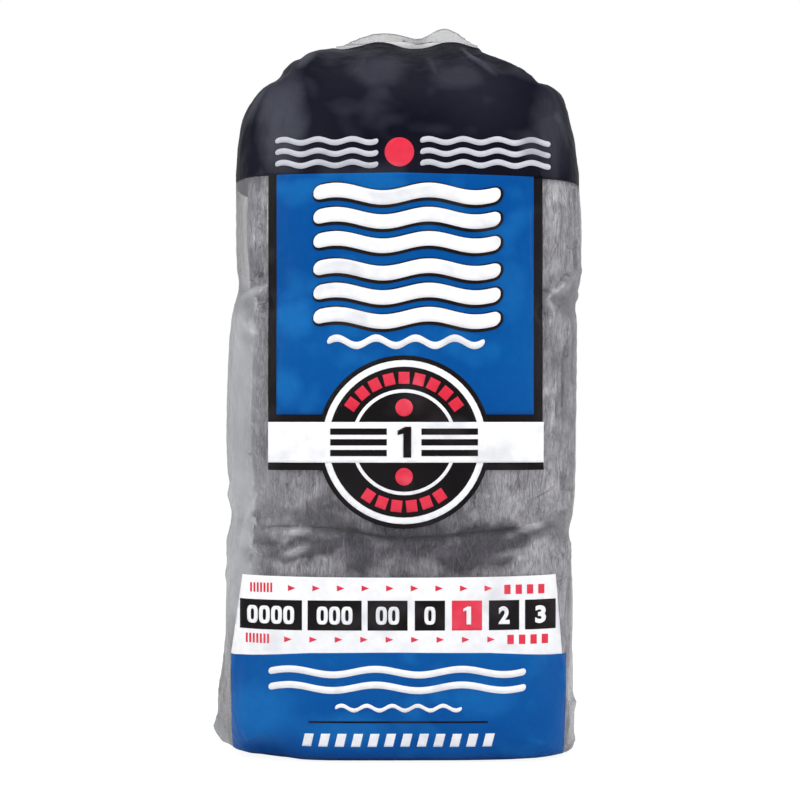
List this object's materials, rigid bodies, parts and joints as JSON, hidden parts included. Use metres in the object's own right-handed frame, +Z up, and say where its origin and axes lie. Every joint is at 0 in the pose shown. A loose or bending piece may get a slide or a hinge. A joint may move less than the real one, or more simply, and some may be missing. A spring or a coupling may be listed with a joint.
{
  "type": "steel wool pad pack",
  "caption": "Clear printed film sleeve of rolled steel wool pads in three tiers, closed by a thin wavy seal at the top and standing on its flat folded bottom.",
  "frame": {"origin": "middle of the flat folded bottom that the pack stands on", "axes": "+Z up to the seal, +X to the right seen from the printed front, -Y towards the printed front"},
  "size_m": [0.1222, 0.0734, 0.2401],
  "materials": {
    "film": "thin clear film, glossy and slightly milky, printed in dark navy, blue, black and white",
    "steel_wool": "fine steel fibres combed one way and rolled, dull grey with a soft sparkle"
  },
  "bodies": {
    "root": {"bag": "film", "pad_bottom_1": "steel_wool", "pad_bottom_2": "steel_wool", "pad_bottom_3": "steel_wool", "pad_bottom_4": "steel_wool", "pad_middle_1": "steel_wool", "pad_middle_2": "steel_wool", "pad_middle_3": "steel_wool", "pad_middle_4": "steel_wool", "pad_top_1": "steel_wool", "pad_top_2": "steel_wool", "pad_top_3": "steel_wool", "pad_top_4": "steel_wool"}
  },
  "joints": []
}
